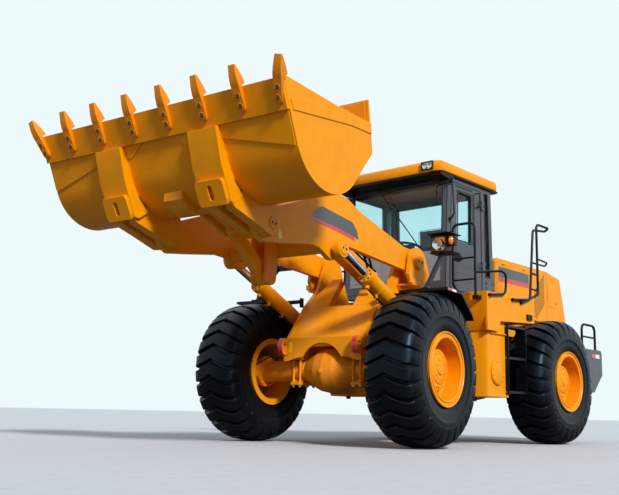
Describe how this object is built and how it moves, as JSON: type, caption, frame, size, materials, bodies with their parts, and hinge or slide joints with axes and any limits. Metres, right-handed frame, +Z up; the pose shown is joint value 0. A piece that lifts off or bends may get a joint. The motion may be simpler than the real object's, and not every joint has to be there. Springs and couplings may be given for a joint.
{
  "type": "articulated wheel loader",
  "caption": "Articulated wheel loader with a toothed bucket, bent lift arms, reversed rocker linkage, enclosed cab and rear engine hood.",
  "frame": {"origin": "on the ground under the centre hinge between the two halves", "axes": "+X forwards, +Y to the machine left, +Z up"},
  "size_m": [8.4652, 3.3788, 3.4384],
  "materials": {
    "black": "satin black",
    "cast": "painted casting",
    "chrome": "polished",
    "dark": "satin dark grey",
    "glass": "tinted",
    "lamp": "clear lens",
    "plastic": "moulded",
    "seat": "woven",
    "tyre": "matt",
    "yellow": "satin loader yellow"
  },
  "bodies": {
    "rear_frame": {"rear_chassis": "yellow", "rear_axle": "yellow", "engine_block": "cast", "side_decks": "yellow", "side_tanks": "yellow", "cab_shell": "dark", "cab_roof": "yellow", "cab_glass": "glass", "seat_base": "plastic", "seat_cushion": "seat", "steering_column": "plastic", "steering_wheel": "plastic", "hood": "yellow", "grille": "dark", "counterweight": "dark", "tow_hitch": "dark", "rear_fenders": "yellow", "ladders": "black", "handrails": "black", "headlights_roof": "lamp", "rear_rail": "black"},
    "door": {"door_frame": "dark", "door_glass": "glass"},
    "front_frame": {"front_chassis": "yellow", "front_axle": "yellow", "front_fenders": "black", "lamp_posts": "black", "headlamps": "plastic"},
    "boom": {"boom": "yellow"},
    "rocker": {"rocker": "yellow"},
    "link": {"link": "yellow"},
    "bucket": {"bucket_shell": "yellow", "cutting_edge": "yellow", "bucket_teeth": "yellow", "bucket_lugs": "yellow"},
    "lift_barrel_left": {"lift_barrel_left": "yellow"},
    "lift_rod_left": {"lift_rod_left": "chrome"},
    "lift_barrel_right": {"lift_barrel_right": "yellow"},
    "lift_rod_right": {"lift_rod_right": "chrome"},
    "tilt_barrel": {"tilt_barrel": "yellow"},
    "tilt_rod": {"tilt_rod": "chrome"},
    "steer_barrel_left": {"steer_barrel_left": "yellow"},
    "steer_rod_left": {"steer_rod_left": "chrome"},
    "steer_barrel_right": {"steer_barrel_right": "yellow"},
    "steer_rod_right": {"steer_rod_right": "chrome"},
    "wheel_front_left": {"tyre_front_left": "tyre", "rim_front_left": "yellow"},
    "wheel_front_right": {"tyre_front_right": "tyre", "rim_front_right": "yellow"},
    "wheel_rear_left": {"tyre_rear_left": "tyre", "rim_rear_left": "yellow"},
    "wheel_rear_right": {"tyre_rear_right": "tyre", "rim_rear_right": "yellow"}
  },
  "joints": [
    {"name": "steering", "type": "hinge", "parent": "rear_frame", "child": "front_frame", "pos_m": [0, 0, 0.975], "axis": [0, 0, 1], "range_deg": [-43.18, 32.82]},
    {"name": "boom_lift", "type": "hinge", "parent": "front_frame", "child": "boom", "pos_m": [0.976, 0.08848, 2.066], "axis": [0.0903, -0.9959, 0], "range_deg": [-34.5, 48]},
    {"name": "bucket_tilt", "type": "hinge", "parent": "boom", "child": "bucket", "pos_m": [3.71477, 0.33676, 2.008], "axis": [-0.0903, 0.9959, 0], "range_deg": [0, 150]},
    {"name": "rocker_swing", "type": "hinge", "parent": "boom", "child": "rocker", "pos_m": [2.88816, 0.26183, 2.28], "axis": [0.0903, -0.9959, 0], "range_deg": [-0.5, 48.97]},
    {"name": "link_swing", "type": "hinge", "parent": "rocker", "child": "link", "pos_m": [2.91803, 0.26454, 1.67], "axis": [0.0903, -0.9959, 0], "range_deg": [-73.11, 0.5]},
    {"name": "lift_swing_left", "type": "hinge", "parent": "front_frame", "child": "lift_barrel_left", "pos_m": [0.92638, 0.80894, 1.25807], "axis": [0.0903, -0.9959, 0], "range_deg": [-27.22, 37.68]},
    {"name": "lift_slide_left", "type": "slide", "parent": "lift_barrel_left", "child": "lift_rod_left", "axis": [0.913, 0.0828, 0.3994], "range_m": [-0.4051, 0.56284]},
    {"name": "lift_swing_right", "type": "hinge", "parent": "front_frame", "child": "lift_barrel_right", "pos_m": [1.05675, -0.62916, 1.25807], "axis": [0.0903, -0.9959, 0], "range_deg": [-27.22, 37.68]},
    {"name": "lift_slide_right", "type": "slide", "parent": "lift_barrel_right", "child": "lift_rod_right", "axis": [0.913, 0.0828, 0.3994], "range_m": [-0.4051, 0.56284]},
    {"name": "tilt_swing", "type": "hinge", "parent": "front_frame", "child": "tilt_barrel", "pos_m": [0.59755, 0.05417, 1.79], "axis": [0.0903, -0.9959, 0], "range_deg": [-26.91, 37.25]},
    {"name": "tilt_slide", "type": "slide", "parent": "tilt_barrel", "child": "tilt_rod", "axis": [0.9282, 0.0841, 0.3624], "range_m": [-0.26465, 0.002]},
    {"name": "steer_swing_left", "type": "hinge", "parent": "rear_frame", "child": "steer_barrel_left", "pos_m": [-0.68, 0.33, 0.98], "axis": [0, 0, 1], "range_deg": [-15.12, 11.62]},
    {"name": "steer_slide_left", "type": "slide", "parent": "steer_barrel_left", "child": "steer_rod_left", "axis": [0.9996, 0.0297, 0], "range_m": [-0.18101, 0.23752]},
    {"name": "steer_swing_right", "type": "hinge", "parent": "rear_frame", "child": "steer_barrel_right", "pos_m": [-0.68, -0.33, 0.98], "axis": [0, 0, 1], "range_deg": [-14.77, 11.35]},
    {"name": "steer_slide_right", "type": "slide", "parent": "steer_barrel_right", "child": "steer_rod_right", "axis": [0.9995, 0.0306, 0], "range_m": [-0.25208, 0.19208]},
    {"name": "door_swing", "type": "hinge", "parent": "rear_frame", "child": "door", "pos_m": [-0.539, 0.799, 2.5], "axis": [0, 0, 1], "range_deg": [0, 95]},
    {"name": "wheel_spin_front_left", "type": "hinge", "parent": "front_frame", "child": "wheel_front_left", "pos_m": [1.54169, 1.26938, 0.8], "axis": [-0.0903, 0.9959, 0], "continuous": true},
    {"name": "wheel_spin_front_right", "type": "hinge", "parent": "front_frame", "child": "wheel_front_right", "pos_m": [1.74483, -0.97144, 0.8], "axis": [-0.0903, 0.9959, 0], "continuous": true},
    {"name": "wheel_spin_rear_left", "type": "hinge", "parent": "rear_frame", "child": "wheel_rear_left", "pos_m": [-1.65, 1.125, 0.8], "axis": [0, 1, 0], "continuous": true},
    {"name": "wheel_spin_rear_right", "type": "hinge", "parent": "rear_frame", "child": "wheel_rear_right", "pos_m": [-1.65, -1.125, 0.8], "axis": [0, 1, 0], "continuous": true}
  ],
  "couplings": [
    {"joint": "rocker_swing", "follows": "bucket_tilt", "ratio": 0.32312},
    {"joint": "link_swing", "follows": "bucket_tilt", "ratio": -0.48409},
    {"joint": "lift_swing_left", "follows": "boom_lift", "ratio": 0.77455},
    {"joint": "lift_slide_left", "follows": "boom_lift", "m_per_rad": 0.66946},
    {"joint": "lift_swing_right", "follows": "boom_lift", "ratio": 0.77455},
    {"joint": "lift_slide_right", "follows": "boom_lift", "m_per_rad": 0.66946},
    {"joint": "tilt_swing", "follows": "boom_lift", "ratio": 0.76564},
    {"joint": "tilt_slide", "follows": "bucket_tilt", "m_per_rad": -0.10032},
    {"joint": "steer_swing_left", "follows": "steering", "ratio": 0.3387},
    {"joint": "steer_slide_left", "follows": "steering", "m_per_rad": -0.31251},
    {"joint": "steer_swing_right", "follows": "steering", "ratio": 0.33046},
    {"joint": "steer_slide_right", "follows": "steering", "m_per_rad": 0.33183}
  ]
}
